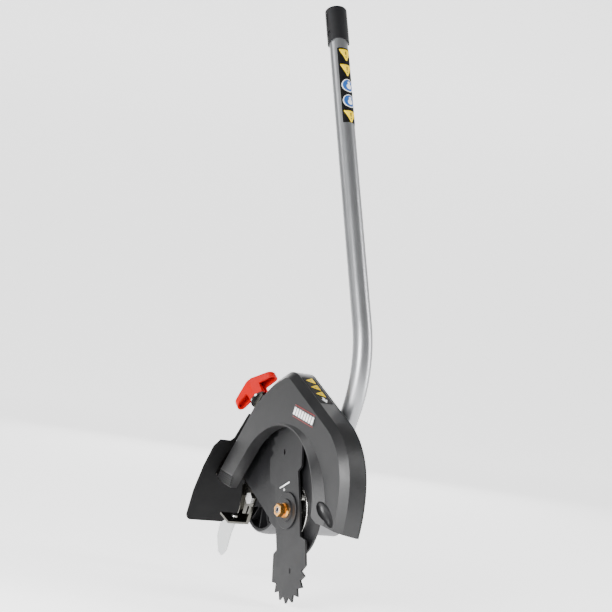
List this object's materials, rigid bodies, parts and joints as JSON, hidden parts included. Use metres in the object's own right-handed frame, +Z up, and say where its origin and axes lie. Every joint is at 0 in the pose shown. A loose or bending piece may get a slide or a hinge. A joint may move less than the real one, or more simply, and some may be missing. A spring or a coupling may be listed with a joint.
{
  "type": "lawn edger attachment",
  "caption": "Curved-shaft lawn edger attachment with a guarded blade, depth wheel on a slotted bracket, debris flap and two-wing clamp knob.",
  "frame": {"origin": "centre of the blade, on the spindle axis", "axes": "+X forward along the cut, +Y to the operator's left, away from the blade's open side, +Z up in the working stance"},
  "size_m": [0.3286, 0.1005, 0.6909],
  "materials": {
    "tube_metal": "satin",
    "black_plastic": "matte",
    "guard_plastic": "fine matte texture",
    "white_plastic": "matte",
    "clear_plastic": "translucent gloss",
    "red_plastic": "satin gloss",
    "blade_paint": "satin",
    "plate_paint": "satin",
    "cast_metal": "cast",
    "steel": "machined",
    "zinc_plate": "bright zinc",
    "gold_zinc": "yellow zinc plate",
    "rubber": "matte",
    "tread": "matte",
    "label": "printed label",
    "badge": "printed label"
  },
  "bodies": {
    "boom": {"boom_tube": "tube_metal", "drive_liner": "white_plastic", "flex_shaft": "steel", "upper_bushing": "black_plastic", "lower_bushing": "black_plastic", "button_spring": "steel", "hanger_cap": "black_plastic", "boom_label": "label", "gear_case": "cast_metal", "grease_plug": "steel", "case_cover": "cast_metal", "cover_screws": "steel", "clamp_screws": "steel", "spindle_bearing_outer": "steel", "spindle_bearing_inner": "steel", "spindle_seal": "rubber", "input_bearing": "steel", "guard_shell": "guard_plastic", "guard_back_plate": "plate_paint", "mount_ring": "zinc_plate", "ring_screws": "zinc_plate", "shell_screws": "zinc_plate", "guard_badge": "badge", "warning_strip": "label"},
    "coupling_tip": {"drive_tip": "steel"},
    "lock_button": {"snap_button": "plate_paint"},
    "drive_input": {"input_pinion": "steel", "input_shaft": "steel"},
    "spindle": {"output_shaft": "steel", "output_gear": "steel", "inner_flange": "zinc_plate", "edger_blade": "blade_paint", "cup_washer": "blade_paint", "blade_nut": "gold_zinc"},
    "wheel_carrier": {"wheel_bracket": "zinc_plate", "clamp_bolt": "zinc_plate", "clamp_washer": "zinc_plate", "knob_washer": "rubber", "debris_flap": "rubber", "flap_rivets": "zinc_plate", "wheel_bush": "white_plastic", "wheel_axle": "zinc_plate", "axle_nut": "zinc_plate", "edge_guide": "clear_plastic", "guide_rivet": "zinc_plate"},
    "clamp_knob": {"depth_knob": "red_plastic", "knob_insert": "gold_zinc"},
    "wheel": {"wheel_hub": "black_plastic", "wheel_tyre": "tread"}
  },
  "joints": [
    {"name": "blade_spin", "type": "hinge", "parent": "boom", "child": "spindle", "pos_m": [0, 0, 0], "axis": [0, 1, 0], "continuous": true},
    {"name": "input_spin", "type": "hinge", "parent": "boom", "child": "drive_input", "pos_m": [0, 0.0363, 0], "axis": [0.3256, 0, 0.9455], "continuous": true},
    {"name": "tip_spin", "type": "hinge", "parent": "boom", "child": "coupling_tip", "pos_m": [-0.11461, 0.0363, 0.58406], "axis": [-0.3827, 0, 0.9239], "continuous": true},
    {"name": "button_press", "type": "slide", "parent": "boom", "child": "lock_button", "axis": [0, 1, 0], "range_m": [0, 0.0032], "stiffness_N_per_m": 1200, "springref_m": -0.002},
    {"name": "depth_adjust", "type": "slide", "parent": "boom", "child": "wheel_carrier", "axis": [-0.5807, 0, -0.8141], "range_m": [0, 0.045]},
    {"name": "knob_turn", "type": "hinge", "parent": "wheel_carrier", "child": "clamp_knob", "pos_m": [-0.07707, -0.0086, 0.11227], "axis": [-0.8141, 0, 0.5807], "range_deg": [0, 720]},
    {"name": "wheel_spin", "type": "hinge", "parent": "wheel_carrier", "child": "wheel", "pos_m": [-0.09806, 0, -0.00219], "axis": [0, 1, 0], "continuous": true}
  ],
  "couplings": [
    {"joint": "input_spin", "follows": "blade_spin", "ratio": -1.3333},
    {"joint": "tip_spin", "follows": "blade_spin", "ratio": -1.3333}
  ]
}
